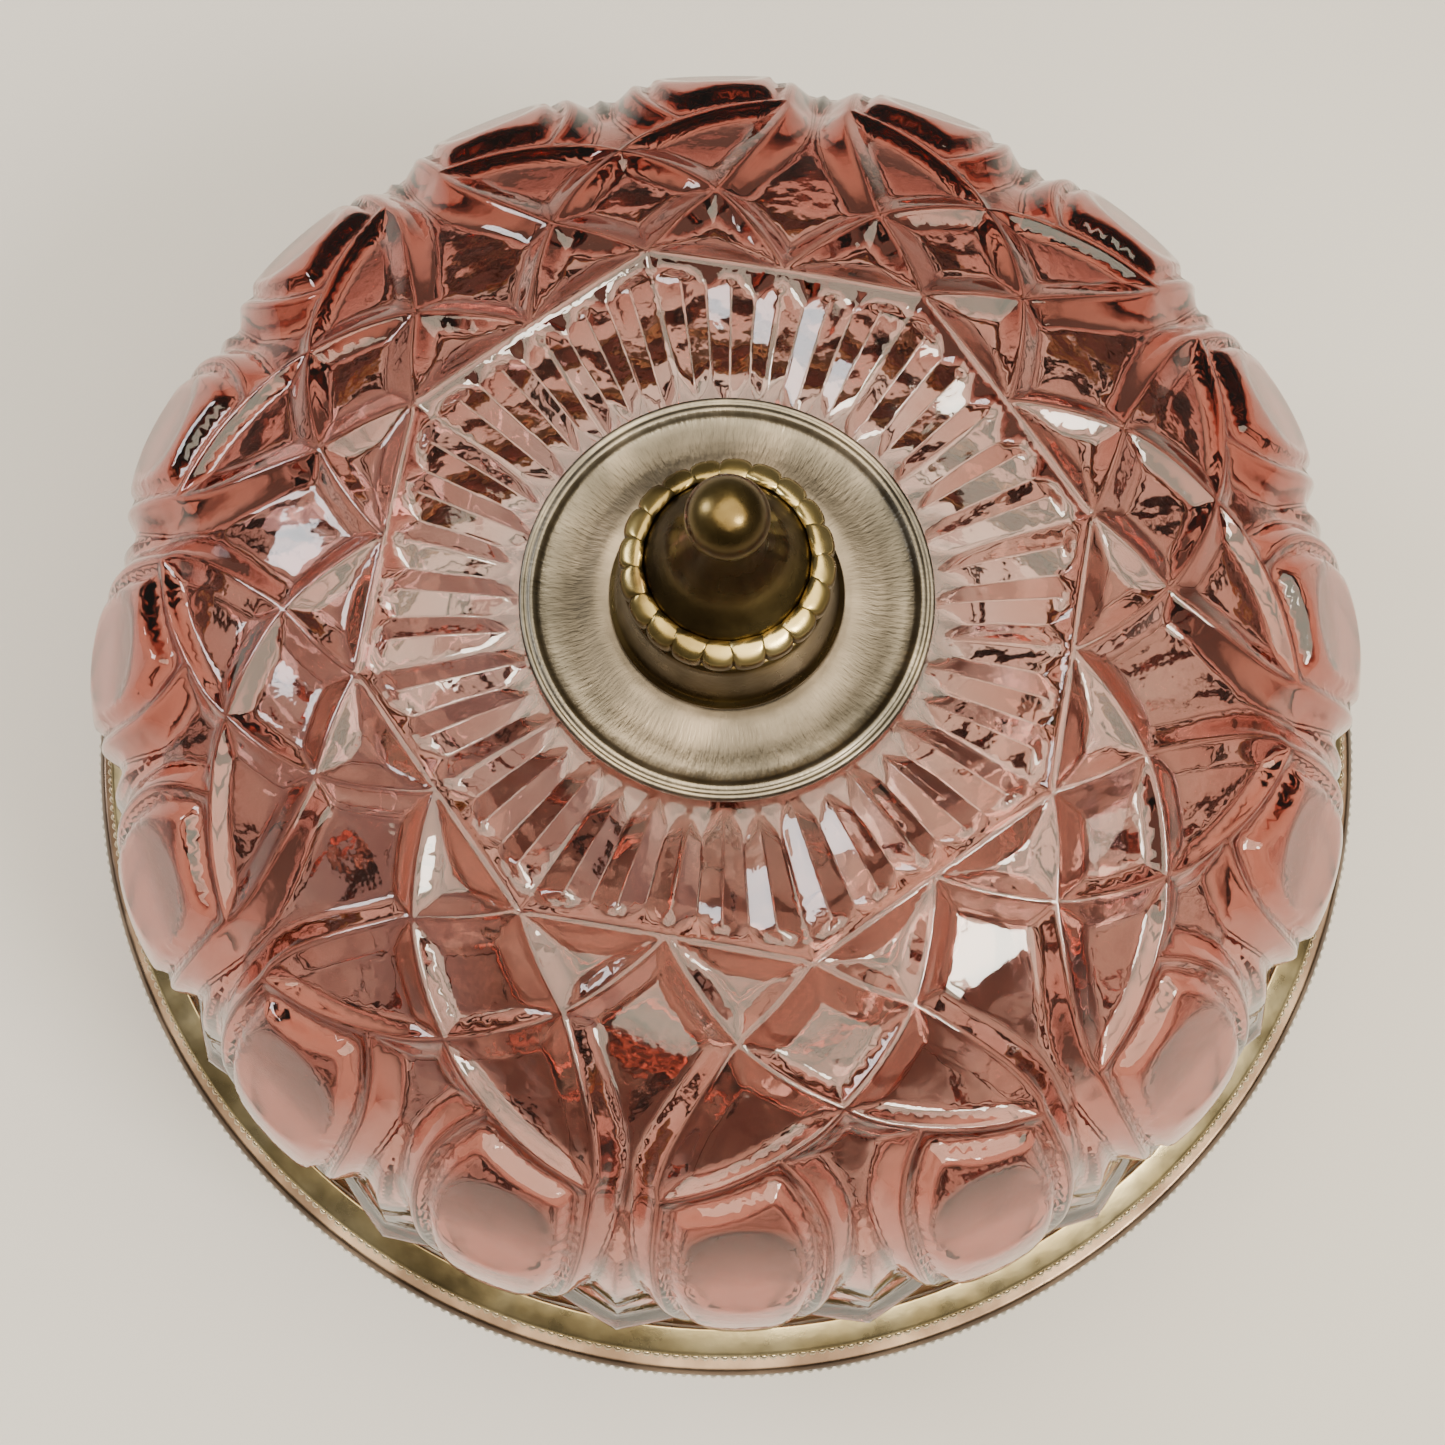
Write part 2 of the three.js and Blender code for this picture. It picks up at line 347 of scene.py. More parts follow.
@dataclass(frozen=True)
class Pattern:
    """Pressed pattern of eight mirrored panels, drawn in one wedge from corner axis to mid-side axis.

    A wedge point is (share, degrees): the share of the way round from the octagon's corner axis to
    the mid-side axis, and the meridian angle.
    """

    wedge: float = math.pi / 8
    octagon_radius: float = 36.4
    soften: float = 0.34
    fullness: float = 0.15
    full_from: float = 42.0
    full_ramp: float = 16.0

    # Flutes: each is a roof that falls towards the middle and ends in a hip at the octagon.
    ribs: int = 40
    rib_depth: float = 0.045
    rib_dip: float = 0.37
    rib_dip_radius: float = 34.0
    rib_foot: float = 21.0
    short_rib_drop: float = 0.5
    short_rib_radius: float = 27.0
    short_rib_ramp: float = 5.0
    hip: tuple = (-1.9, 0.85)
    border: tuple = (-0.1, -1.2, -3.0)
    land_height: float = 53.2
    land_radius: float = 30.0

    # Raised lines as share and meridian angle.
    side: tuple = ((0, 21.05), (0.25, 24.3), (0.5, 27.9), (0.64, 31.8), (0.75, 36.2), (0.825, 40.6),
                   (0.86, 45), (0.855, 47.6))
    arc: tuple = ((1, 18.7), (0.76, 22.9), (0.5, 27.9), (0.27, 31.8), (0, 36.2))
    leaf_foot: tuple = ((0, 36.2), (0.15, 38.9), (0.325, 41.3), (0.58, 44.7), (0.855, 47.6))
    lobe: tuple = ((0.325, 41.3), (0.22, 45.5), (0.155, 51.6), (0.15, 59), (0.175, 67), (0.22, 76),
                   (0.29, 82.5), (0.39, 86.3), (0.5, 87.4), (0.61, 86.3), (0.71, 82.5), (0.79, 76),
                   (0.84, 66), (0.86, 58), (0.86, 52), (0.855, 47.6))

    # Cells: the deepest cut, and how steeply it rises to each line that bounds it.
    ground_depth: tuple = ((30, 1.9), (40, 2.3), (52, 2.5), (75, 2.3), (86, 1.9), (89, 0.2))
    ground: tuple = ((Run.LOBE, 1.05), (Run.SIDE, 1.0), (Run.ARC, 0.9), (Run.LEAF_FOOT, 0.95))
    star: tuple = (1.15, ((Run.OCTAGON, 0.5), (Run.SIDE, 0.65), (Run.ARC, 0.65)))
    diamond: tuple = (1.4, ((Run.SIDE, 0.5), (Run.ARC, 1.2)))
    leaf: tuple = (1.2, ((Run.SIDE, 0.5), (Run.ARC, 0.5), (Run.LEAF_FOOT, 1.2)))

    # Split pyramids between the lobes: height, where they start, how fast they grow, and half width.
    low_point: tuple = (2.9, 27.0, 20.0, 0.03, 0.27)
    high_point: tuple = (1.5, 53.0, 9.0, 0.12)

    # Lobes and the oval window ground across each.
    window: tuple = (0.5, 59.8)
    window_half: tuple = (0.21, 8.6)
    window_depth: float = 0.9
    lobe_swell: float = 1.0
    lobe_half: float = 9.0
    lobe_slope: float = 0.55
    lobe_flat: float = 1.0
    lobe_groove: float = 0.75
    groove: tuple = (1.25, 0.75, 0.8)

    def octagon_line(self, dome: Dome) -> np.ndarray:
        """Draw the octagon's side in the wedge.

        Args:
            dome: the glass piece's dome.

        Returns:
            Points of share and meridian angle.
        """
        share = np.linspace(0, 1, 40)
        r = self.octagon_radius * math.cos(self.wedge) / np.cos(self.wedge * (1 - share))
        return np.stack([share, dome.meridian(r)], axis=-1)

    def lines(self, dome: Dome) -> dict[Run, np.ndarray]:
        """Return every raised line of the wedge."""
        return {
            Run.OCTAGON: self.octagon_line(dome),
            Run.SIDE: through(list(self.side)),
            Run.ARC: through(list(self.arc)),
            Run.LEAF_FOOT: through(list(self.leaf_foot)),
            Run.LOBE: through(list(self.lobe)),
        }

    def distances(self, dome: Dome, points: np.ndarray,
                  lines: dict[Run, np.ndarray]) -> dict[Run, np.ndarray]:
        """Measure how far wedge points lie from each raised line.

        Args:
            dome: the glass piece's dome.
            points: wedge points.
            lines: the raised lines.

        Returns:
            Distances in millimetres, softened close to each line.
        """
        at = dome.place(points[:, 0] * self.wedge, points[:, 1], 0 * points[:, 0])
        found = {}
        for run, line in lines.items():
            parts = [np.linspace(a, b, 6, endpoint=False) for a, b in zip(line, line[1:])]
            dense = np.vstack([*parts, line[-1:]])
            tree = tree_of(dome.place(dense[:, 0] * self.wedge, dense[:, 1], 0 * dense[:, 0]))
            away = np.array([tree.find(p)[2] for p in at])
            found[run] = np.sqrt(away ** 2 + self.soften ** 2) - self.soften
        return found

    def flutes(self, dome: Dome, points: np.ndarray, turn: np.ndarray, to_octagon: np.ndarray) -> np.ndarray:
        """Height of the fluted centre.

        Args:
            dome: the glass piece's dome.
            points: wedge points.
            turn: each point's true turn round the axis.
            to_octagon: distance to the octagon's side.

        Returns:
            Relief in millimetres, down to the flat land in the middle.
        """
        r, z = dome.section(points[:, 1])
        rib = turn * self.ribs / (2 * math.pi)
        across = np.abs(2 * (rib - np.floor(rib)) - 1)
        short = np.floor(rib).astype(int) % 2
        roof = -self.rib_depth * r * across - self.rib_dip * np.maximum(self.rib_dip_radius - r, 0)
        ramp = np.clip((self.short_rib_radius - r) / self.short_rib_ramp, 0, 1)
        roof = roof - self.short_rib_drop * short * ramp
        roof = np.minimum(roof, self.hip[0] + self.hip[1] * to_octagon)
        start, slope, deepest = self.border
        border = np.maximum(start + slope * to_octagon, deepest)
        land = np.maximum(roof, self.land_height - z)
        return np.where(r < self.land_radius, land, np.maximum(roof, border))

    def relief(self, dome: Dome, points: np.ndarray, turn: np.ndarray, away: dict[Run, np.ndarray],
               lines: dict[Run, np.ndarray]) -> np.ndarray:
        """Relief of every wedge point.

        Args:
            dome: the glass piece's dome.
            points: wedge points.
            turn: each point's true turn round the axis.
            away: distances to the raised lines.
            lines: the raised lines.

        Returns:
            Relief in millimetres, outwards positive.
        """
        share, degrees = points.T

        def level(run: Run) -> np.ndarray:
            """Meridian angle of a raised line at each point's share."""
            line = lines[run][np.argsort(lines[run][:, 0])]
            return np.interp(share, line[:, 0], line[:, 1])

        octagon, side, arc, foot = (level(run) for run in (Run.OCTAGON, Run.SIDE, Run.ARC, Run.LEAF_FOOT))
        past_side = share > self.side[-1][0]
        side = np.where(past_side, 200, side)
        ground = self.cut(np.interp(degrees, *zip(*self.ground_depth)), self.ground, away)
        relief = ground + self.corner_points(dome, share, degrees)
        in_leaf = (degrees > np.maximum(arc, side)) & (degrees <= foot) & ~past_side
        relief = np.where(in_leaf, self.cut(*self.leaf, away), relief)
        in_diamond = (degrees > side) & (degrees <= arc) & (share < 0.5)
        relief = np.where(in_diamond, self.cut(*self.diamond, away), relief)
        relief = np.where((degrees <= arc) & (degrees <= side), self.cut(*self.star, away), relief)
        in_lobe = inside(points, self.lobe_outline(lines))
        relief = np.where(in_lobe, self.cushion(dome, points, away[Run.LOBE], away[Run.LEAF_FOOT]), relief)
        fuller = self.fullness * np.clip((degrees - self.full_from) / self.full_ramp, 0, 1) ** 1.5
        fluted = self.flutes(dome, points, turn, away[Run.OCTAGON])
        return np.where(degrees < octagon, fluted, relief + fuller)

    def cut(self, deepest: float | np.ndarray, slopes: tuple, away: dict[Run, np.ndarray]) -> np.ndarray:
        """Cut a cell that rises to the lines round it.

        Args:
            deepest: the deepest that the cell goes.
            slopes: each bounding line, with the rise towards it.
            away: distances to the raised lines.

        Returns:
            Relief in millimetres.
        """
        depth = [slope * away[run] for run, slope in slopes]
        return -np.minimum.reduce([deepest + 0 * depth[0], *depth])

    def lobe_outline(self, lines: dict[Run, np.ndarray]) -> np.ndarray:
        """Close the lobe's outline along the foot of the leaf."""
        foot = lines[Run.LEAF_FOOT]
        return np.vstack([lines[Run.LOBE], foot[foot[:, 0] > self.lobe[0][0]][::-1]])

    def corner_points(self, dome: Dome, share: np.ndarray, degrees: np.ndarray) -> np.ndarray:
        """Raise small split pyramids between the lobes, above the rim.

        Args:
            dome: the glass piece's dome.
            share: each point's share of the wedge.
            degrees: each point's meridian angle.

        Returns:
            Their height in millimetres.
        """
        across = np.minimum(share, 1 - share)
        height, start, run, least, more = self.low_point
        climb = np.clip((start - dome.section(degrees)[1]) / run, 0, 1)
        low = height * climb * np.clip(1 - across / (least + more * climb), 0, 1)
        height, start, run, half = self.high_point
        high = height * np.clip((degrees - start) / run, 0, 1) * np.clip(1 - across / half, 0, 1)
        return np.maximum(low, high)

    def cushion(self, dome: Dome, points: np.ndarray, d_lobe: np.ndarray, d_foot: np.ndarray) -> np.ndarray:
        """Rounded lobe with a flat window ground across it.

        Args:
            dome: the glass piece's dome.
            points: wedge points.
            d_lobe: distance to the lobe's outline.
            d_foot: distance to the foot of the leaf above it.

        Returns:
            Relief in millimetres.
        """
        share, degrees = points.T
        angle = (share - self.window[0]) * self.wedge
        at = dome.place(angle, degrees, 0 * angle)
        level = np.array([self.window[1]])
        centre = dome.place(np.zeros(1), level, np.zeros(1))[0]
        out, lift = (float(v[0]) for v in dome.normal(level))
        facing = np.array([out, 0, dome.up * lift])
        radial, up = dome.normal(degrees)
        normal = np.stack([radial * np.cos(angle), radial * np.sin(angle), dome.up * up], axis=-1)
        swell = self.lobe_swell * np.clip(1 - (at[:, 1] / self.lobe_half) ** 2, 0, 1)
        edge = np.minimum(d_lobe, d_foot)
        swell = np.minimum(swell, self.lobe_slope * np.maximum(edge - self.lobe_flat, 0))
        middle, half, ramp = self.groove
        groove = np.exp(-((edge - middle) / half) ** 2) * np.clip(edge / ramp, 0, 1)
        swell = swell - self.lobe_groove * groove
        top = self.lobe_swell - self.window_depth
        over = ((at - centre + normal * swell[:, None]) @ facing - top) / (normal @ facing)
        return swell - np.maximum(over, 0)


@dataclass
class PressedGlass:
    """One pressed-glass piece: a patterned outside from the wedge, and turned rings that close it.

    The wedge is laid out flat to be triangulated: `spacing` is the length of its free edges, `width`
    its flat width, and `shoulder` how far beside a raised line the net is drawn close. The relief dies
    out over the last `fade` degrees.
    """

    name: str
    node: str
    dome: Dome
    start_radius: float
    end_degrees: float
    closing: Outline
    pattern: Pattern = Pattern()
    spacing: float = 0.8
    edge_points: int = 24
    shoulder: float = 0.27
    width: float = 20.0
    fade: float = 1.2

    def start(self) -> float:
        """Return the meridian angle where the pattern starts."""
        return float(self.dome.meridian(np.array([self.start_radius]))[0])

    def window_ring(self, turns: np.ndarray) -> np.ndarray:
        """Return the window's outline at turns round it, as wedge points."""
        (across, middle), (wide, tall) = self.pattern.window, self.pattern.window_half
        return np.stack([across + wide * np.cos(turns), middle + tall * np.sin(turns)], axis=-1)

    def creases(self) -> list[np.ndarray]:
        """List the lines that edges follow: raised lines, window and flutes.

        Returns:
            Wedge points of each line.
        """
        pattern, dome = self.pattern, self.dome
        lines = list(pattern.lines(dome).values())
        octagon = lines[0]
        lines.append(self.window_ring(np.linspace(0, 2 * math.pi, 60)))
        bottom = float(dome.meridian(np.array([pattern.rib_foot]))[0])
        for j in range(1, 5):
            share = j * 2 * math.pi / pattern.ribs / 2 / pattern.wedge
            top = float(np.interp(share, octagon[:, 0], octagon[:, 1])) - 0.6
            lines.append(np.stack([np.full(12, share), np.linspace(bottom, top, 12)], axis=-1))
        return lines

    def wedge_net(self) -> tuple[np.ndarray, Faces]:
        """Triangulate the wedge so that edges follow the raised lines.

        Returns:
            Wedge points (share, degrees) and triangles.
        """
        dome, width = self.dome, self.width
        step, row, clear = 0.75 * self.spacing, 0.87 * self.spacing, 0.42 * self.spacing
        margin = 0.3
        table = np.linspace(0.5, 90, 2000)
        r, z = dome.section(table)
        length = np.concatenate([[0], np.cumsum(np.hypot(np.diff(r), np.diff(z)))])
        first = self.start()
        low, high = (float(np.interp(v, table, length)) for v in (first, self.end_degrees))
        verts, edges, beside = [], [], []
        for line in self.creases():
            line = line[(line[:, 1] > first + 0.4) & (line[:, 1] < self.end_degrees)]
            if len(line) < 2:
                continue
            laid = np.stack([line[:, 0] * width, np.interp(line[:, 1], table, length)], axis=-1)
            steps = np.concatenate([[0], np.cumsum(np.hypot(*np.diff(laid, axis=0).T))])
            count = max(2, int(steps[-1] / step) + 1)
            even = np.linspace(0, steps[-1], count)
            laid = np.stack([np.interp(even, steps, laid[:, k]) for k in (0, 1)], axis=-1)
            edges += [(len(verts) + i, len(verts) + i + 1) for i in range(count - 1)]
            verts += laid.tolist()
            along = np.gradient(laid, axis=0)
            along /= np.hypot(*along.T)[:, None]
            for side in (-2.1 * self.shoulder, -self.shoulder, self.shoulder, 2.1 * self.shoulder):
                beside += (laid + side * along[:, ::-1] * (-1, 1)).tolist()
        ruled = tree_of(verts)
        verts += [p for p in beside if ruled.find((*p, 0))[2] > 0.8 * self.shoulder
                  and 0.1 < p[0] < width - 0.1 and low + margin < p[1] < high - margin]
        ruled = tree_of(verts)
        rows = np.arange(low, high + 1e-6, (high - low) / round((high - low) / row))
        for j, y in enumerate(rows):
            on_edge = j in (0, len(rows) - 1)
            real = self.pattern.wedge * dome.section(np.interp(y, length, table))[0]
            count = self.edge_points if on_edge else max(6, round(float(real) / self.spacing))
            shift = 0.5 if j % 2 and not on_edge else 0
            across = np.concatenate([[0], np.arange(1 - shift, count) / count, [1]])
            for x in np.unique(np.round(across, 9)) * width:
                if on_edge or x in (0, width) or ruled.find((x, y, 0))[2] > clear:
                    verts.append([float(x), float(y)])
        result = delaunay_2d_cdt([Vector(v) for v in verts], edges, [], 0, 1e-5, False)
        laid = np.array([tuple(v) for v in result[0]])
        degrees = np.interp(laid[:, 1], length, table)
        share = np.clip(laid[:, 0] / width, 0, 1)
        return np.stack([share, degrees], axis=-1), [tuple(f) for f in result[2]]

    def outside(self) -> tuple[np.ndarray, Faces, np.ndarray]:
        """Repeat the wedge sixteen times, mirrored every other time, with its relief.

        Returns:
            Points, triangles, and how matt each point is.
        """
        pattern, dome, end = self.pattern, self.dome, self.end_degrees
        net, triangles = self.wedge_net()
        lines = pattern.lines(dome)
        away = pattern.distances(dome, net, lines)
        points, faces = [], []
        for copy in range(16):
            mirrored = copy % 2
            turn = pattern.wedge * (copy + (1 - net[:, 0] if mirrored else net[:, 0]))
            relief = pattern.relief(dome, net, turn, away, lines)
            relief = relief * np.interp(net[:, 1], [end - self.fade, end], [1, 0])
            points.append(dome.place(turn, net[:, 1], relief))
            offset = len(net) * copy
            faces += [tuple(i + offset for i in (tri[::-1] if mirrored else tri)) for tri in triangles]
        away = np.hypot(*((net - pattern.window) / pattern.window_half).T)
        return np.vstack(points), faces, np.tile(np.clip((1.06 - away) / 0.1, 0, 1), 16)

    def build(self) -> Object:
        """Build the closed glass piece and return its object."""
        points, faces, frost = self.outside()
        count = 16 * self.edge_points
        turns = np.linspace(0, 2 * math.pi, count, endpoint=False)
        first, flat = self.start(), np.zeros(count)
        rings = [self.dome.place(turns, flat + self.end_degrees, flat)]
        for r, z in self.closing:
            rings.append(np.stack([r * np.cos(turns), r * np.sin(turns), np.full(count, z)], axis=-1))
        rings.append(self.dome.place(turns, flat + first, flat + self.start_relief(first)))
        faces += hoops(len(rings), count, base=len(points))
        frost = np.concatenate([frost, np.zeros(count * len(rings))])
        piece = new_object(self.name, mesh_from(self.name, np.vstack([points, *rings]), faces, frost))
        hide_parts(self.node)
        return piece

    def start_relief(self, first: float) -> float:
        """Find the relief of the ring where the pattern starts.

        Args:
            first: the ring's meridian angle.

        Returns:
            Its relief in millimetres.
        """
        net = np.array([[0.5, first]])
        lines = self.pattern.lines(self.dome)
        away = self.pattern.distances(self.dome, net, lines)
        return float(self.pattern.relief(self.dome, net, np.array([0.0]), away, lines)[0])


# ---------------------------------------------------------------- metalwork


@dataclass
class RowOfPieces:
    """A small shape repeated round a circle with Geometry Nodes: beads, or the teeth of a milled edge."""

    name: str
    count: int
    radius: float
    height: float
    unevenness: float = 0.03
    seed: int = 7

    def tree(self) -> NodeTree:
        """Build the node tree that sets out, turns and joins the pieces.

        Returns:
            The node tree, with a named input for each measure.
        """
        group = bpy.data.node_groups.new(f"{self.name}_layout", "GeometryNodeTree")
        face = group.interface
        face.new_socket("Geometry", in_out="INPUT", socket_type="NodeSocketGeometry")
        for label, kind in (("Count", "Int"), ("Radius", "Float"), ("Height", "Float"),
                            ("Unevenness", "Float"), ("Seed", "Int"), ("Finish", "Material")):
            face.new_socket(label, in_out="INPUT", socket_type=f"NodeSocket{kind}")
        face.new_socket("Geometry", in_out="OUTPUT", socket_type="NodeSocketGeometry")

        def add(kind: str, **settings: object) -> Node:
            """Add a node of a kind with its settings and return it."""
            node = group.nodes.new(kind)
            for key, value in settings.items():
                setattr(node, key, value)
            return node

        entry, leave = add("NodeGroupInput"), add("NodeGroupOutput")
        ring = add("GeometryNodeMeshCircle")
        lift, joined = add("ShaderNodeCombineXYZ"), add("GeometryNodeSetPosition")
        place, turn = add("GeometryNodeInstanceOnPoints"), add("FunctionNodeAlignEulerToVector", axis="X")
        spot = add("GeometryNodeInputPosition")
        flat = add("ShaderNodeVectorMath", operation="MULTIPLY")
        flat.inputs[1].default_value = (1, 1, 0)
        least, most = (add("ShaderNodeMath", operation=op) for op in ("SUBTRACT", "ADD"))
        least.inputs[0].default_value = most.inputs[0].default_value = 1.0
        vary = add("FunctionNodeRandomValue", data_type="FLOAT")
        whole, paint = add("GeometryNodeRealizeInstances"), add("GeometryNodeSetMaterial")
        for source, out, target, into in (
            (entry, "Count", ring, "Vertices"), (entry, "Radius", ring, "Radius"),
            (entry, "Height", lift, "Z"), (ring, "Mesh", joined, "Geometry"),
            (lift, "Vector", joined, "Offset"),
            (joined, "Geometry", place, "Points"), (entry, "Geometry", place, "Instance"),
            (spot, "Position", flat, 0), (flat, "Vector", turn, "Vector"),
            (turn, "Rotation", place, "Rotation"), (entry, "Unevenness", least, 1),
            (entry, "Unevenness", most, 1), (least, "Value", vary, 2), (most, "Value", vary, 3),
            (entry, "Seed", vary, "Seed"), (vary, 1, place, "Scale"), (place, "Instances", whole, "Geometry"),
            (whole, "Geometry", paint, "Geometry"), (entry, "Finish", paint, "Material"),
            (paint, "Geometry", leave, "Geometry"),
        ):
            group.links.new(source.outputs[out], target.inputs[into])
        return group

    def build(self, shape: Mesh, material: Material) -> Object:
        """Set the shape out round the circle.

        Args:
            shape: one bead or tooth, standing at the origin and facing +X.
            material: finish of the row.

        Returns:
            The row as one plain mesh object.
        """
        holder = new_object(f"{self.name}_pattern", shape)
        modifier = holder.modifiers.new("layout", "NODES")
        modifier.node_group = self.tree()
        values = {"Count": self.count, "Radius": self.radius * MM, "Height": self.height * MM,
                  "Unevenness": self.unevenness, "Seed": self.seed, "Finish": material}
        for item in modifier.node_group.interface.items_tree:
            if item.in_out == "INPUT" and item.name in values:
                modifier[item.identifier] = values[item.name]
        seen = holder.evaluated_get(bpy.context.evaluated_depsgraph_get())
        mesh = bpy.data.meshes.new_from_object(seen)
        holder.modifiers.remove(modifier)
        bpy.data.objects.remove(holder)
        mesh.name = self.name
        mesh.polygons.foreach_set("use_smooth", [True] * len(mesh.polygons))
        return new_object(self.name, mesh)


def tooth(depth: float, width: float, height: float, crown: float = 0.5) -> Mesh:
    """One tooth of a milled edge: a half-round bar with a sloped top and bottom.

    Args:
        depth: how far it stands out.
        width: its width round the edge.
        height: its height.
        crown: how much shorter its face is than its back, at each end.

    Returns:
        The tooth, with its back at the origin.
    """
    section = [(-0.25, -0.5), (0.45, -0.42), (0.85, -0.22), (1.0, 0), (0.85, 0.22), (0.45, 0.42),
               (-0.25, 0.5)]
    levels = [(-0.5, 0.0), (-0.5 + crown / height, 1.0), (0.5 - crown / height, 1.0), (0.5, 0.0)]
    points = [(x * depth * (share if x > 0 else 1), y * width, level * height)
              for level, share in levels for x, y in section]
    n = len(section)
    faces = hoops(len(levels), n) + [tuple(range(n)), tuple(range(len(points) - n, len(points)))]
    return mesh_from("tooth", np.array(points), faces)


def gadroon(depth: float, width: float, height: float) -> Mesh:
    """One bead of the finial's ring: a plump scallop with a top ground to a slope.

    Args:
        depth: from its back to its crest.
        width: round the ring.
        height: from foot to top.

    Returns:
        The bead, with its back at the origin.
    """
    profile = [(0.0, 0.74), (0.12, 0.9), (0.32, 1.0), (0.56, 1.0), (0.72, 0.94), (0.82, 0.82), (0.93, 0.46),
               (1.0, 0.1)]
    across = np.linspace(-1, 1, 13)
    points = []
    for level, reach in profile:
        for share in across:
            bulge = math.sqrt(max(0.0, 1 - abs(share) ** 2.4))
            points.append((depth * reach * (0.56 + 0.44 * bulge), 0.5 * width * share, level * height))
        points += [(-0.6, 0.5 * width, level * height), (-0.6, -0.5 * width, level * height)]
    n = len(across) + 2
    faces = hoops(len(profile), n) + [tuple(range(n)), tuple(range(len(points) - n, len(points)))]
    return mesh_from("gadroon", np.array(points), faces)


@dataclass
class RimBand:
    """Plated metal rim: a turned sheet band and the teeth of its milled edge."""

    node: str
    body: Body
    section: Outline
    teeth: int
    teeth_radius: float
    teeth_height: float
    tooth_depth: float
    tooth_tall: float
    rounding: float = 0.32

    def build(self, band: Material, edge: Material) -> None:
        """Build the band and its teeth.

        Args:
            band: finish of the smooth sheet.
            edge: finish of the teeth.
        """
        ring = turned(f"{self.node}_band", rounded(self.section, self.rounding), 256)
        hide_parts(self.node)
        dress(ring, band, self.body)
        pitch = 2 * math.pi * self.teeth_radius / self.teeth
        row = RowOfPieces(f"{self.node}_milling", self.teeth, self.teeth_radius, self.teeth_height)
        milling = row.build(tooth(self.tooth_depth, 0.86 * pitch, self.tooth_tall), edge)
        dress(milling, edge, self.body)


@dataclass
class Finial:
    """Plate, drum, bead ring and trumpet-shaped knob on the lid's crown, with their finishes."""

    plated: Material
    brass: Material
    # finish of the beads: painted highlight with rubbed wear on their tops, painted shade on their sides
    rubbed_and_highlit: Material
    plate_radius: float = 20.2
    bore: float = 2.7
    ball_radius: float = 3.75
    beads: int = 20
    bead_depth: float = 1.75
    bead_back: float = 8.3

    def plate(self) -> None:
        """Hammered dish with two fine ridges at its edge."""
        (_, _, low), (_, _, top) = frame_mm("finial_plate")
        r = self.plate_radius
        section = [
            (self.bore, low + 0.3), (14.8, low + 0.3), (r - 1, low), (r - 0.1, low + 0.35), (r, low + 1.1),
            (r - 0.05, top - 0.35), (r - 0.3, top - 0.12), (r - 0.55, top - 0.2), (r - 0.72, top - 0.38),
            (r - 0.92, top - 0.16), (r - 1.2, top), (r - 1.5, top - 0.1), (r - 1.75, top - 0.5),
            (r - 2.1, top - 0.78), (r - 3, top - 0.86), (r - 4.2, top - 1.0), (r - 5.6, top - 1.22),
            (13.2, low + 1.62), (12, low + 1.5), (self.bore, low + 1.5)]
        piece = turned("finial_plate_dish", section, 256)
        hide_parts("finial_plate")
        dress(piece, self.plated, Body.LID)

    def drum(self) -> None:
        """Smooth drum that the bead ring stands on."""
        (_, _, low), (_, _, top) = frame_mm("finial_base")
        section = [
            (self.bore, low), (11, low), (11.35, low + 0.25), (11.42, low + 0.6), (11.3, low + 0.95),
            (11.0, low + 1.15), (10.75, low + 1.5), (10.45, low + 2.4), (10.2, low + 3.8), (10.02, low + 5.4),
            (9.85, low + 7.2), (9.8, top - 0.6), (9.6, top - 0.2), (9.25, top), (self.bore, top)]
        piece = turned("finial_drum", section, 160)
        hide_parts("finial_base")
        dress(piece, self.brass, Body.LID)

    def bead_ring(self) -> None:
        """Ring of twenty gadroons round the foot of the knob."""
        (_, _, low), (_, _, top) = frame_mm("finial_bead_ring")
        core = turned("bead_ring_core", [
            (8.15, low), (9.1, low), (9.15, low + 0.5), (9.0, top - 0.9), (8.6, top - 0.35),
            (8.15, top - 0.3)], 160)
        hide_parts("finial_bead_ring")
        dress(core, self.brass, Body.LID)
        width = 2 * math.pi * (self.bead_back + 0.7 * self.bead_depth) / self.beads
        row = RowOfPieces("bead_ring_beads", self.beads, self.bead_back, low, unevenness=0.025, seed=3)
        beads = row.build(gadroon(self.bead_depth, 1.02 * width, top - low), self.rubbed_and_highlit)
        dress(beads, self.rubbed_and_highlit, Body.LID)

    def knob(self) -> None:
        """Trumpet-shaped cone that carries a ball."""
        (_, _, low), (_, _, top) = frame_mm("finial_knob")
        centre = top - self.ball_radius
        flare = [tuple(p) for p in through([
            (8.0, low + 2.3), (7.5, low + 3.2), (6.5, low + 4.3), (5.4, low + 5.8), (4.5, low + 7.8),
            (3.6, low + 10.2), (2.95, centre - 3.3)], 6)]
        ball = [(self.ball_radius * math.cos(a), centre + self.ball_radius * math.sin(a))
                for a in np.radians(np.linspace(-42, 86, 22))]
        section = [(0, low + 9.3), (self.bore, low + 8.3), (self.bore, low), (7.5, low), (7.85, low + 0.3),
                   (8.0, low + 0.9), *flare, (2.9, centre - 3.1), (2.95, centre - 2.8), *ball, (0, top)]
        piece = turned("finial_trumpet", section, 128)
        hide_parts("finial_knob")
        dress(piece, self.brass, Body.LID)


